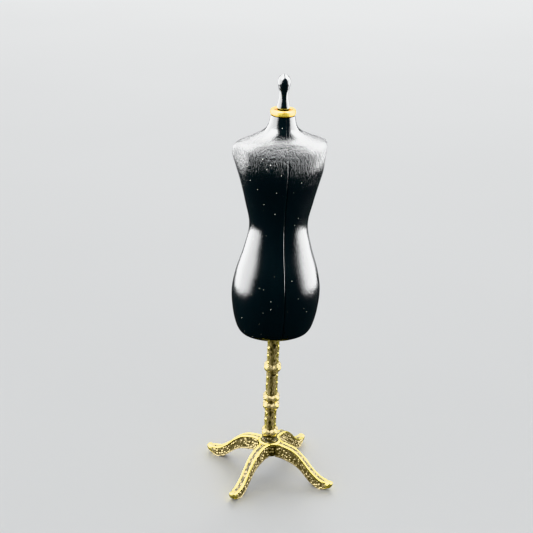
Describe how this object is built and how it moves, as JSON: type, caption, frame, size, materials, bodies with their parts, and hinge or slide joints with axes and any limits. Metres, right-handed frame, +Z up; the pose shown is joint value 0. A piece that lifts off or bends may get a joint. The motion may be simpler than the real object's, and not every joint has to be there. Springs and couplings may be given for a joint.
{
  "type": "miniature dress form",
  "caption": "Doll's-house scale dress form: glossy headless torso with neck ring and finial that turns and lifts off a cast column on a low splayed base of curved legs.",
  "frame": {"origin": "on the floor, under the column's axis", "axes": "+Z up along the column; -Y is the torso's front; +X is the wearer's left"},
  "size_m": [0.0362, 0.0362, 0.136],
  "materials": {
    "black_lacquer": "deep gloss black lacquer over a fine upright grain",
    "gilt": "bright gilt, browner in the recess",
    "antique_brass": "cast antique brass, rubbed bright on the ridges, dark in the recesses",
    "turned_brass": "plain turned brass",
    "steel": "bright drawn rod"
  },
  "bodies": {
    "stand": {"column_rod": "steel", "column_upper": "antique_brass", "column_lower": "antique_brass", "thrust_washer": "turned_brass", "base_hub": "antique_brass", "hub_washer": "turned_brass", "hub_nut": "turned_brass", "leg_front_left": "antique_brass", "leg_front_right": "antique_brass", "leg_rear_left": "antique_brass", "leg_rear_right": "antique_brass"},
    "pivot": {"pivot_bush": "turned_brass"},
    "torso": {"torso_left": "black_lacquer", "torso_right": "black_lacquer", "shoulder_dowel": "turned_brass", "waist_dowel": "turned_brass", "neck_ring": "gilt", "finial": "black_lacquer"}
  },
  "joints": [
    {"name": "torso_lift", "type": "slide", "parent": "stand", "child": "pivot", "axis": [0, 0, 1], "range_m": [0, 0.015]},
    {"name": "torso_turn", "type": "hinge", "parent": "pivot", "child": "torso", "pos_m": [0, 0, 0.0565], "axis": [0, 0, 1], "continuous": true}
  ]
}
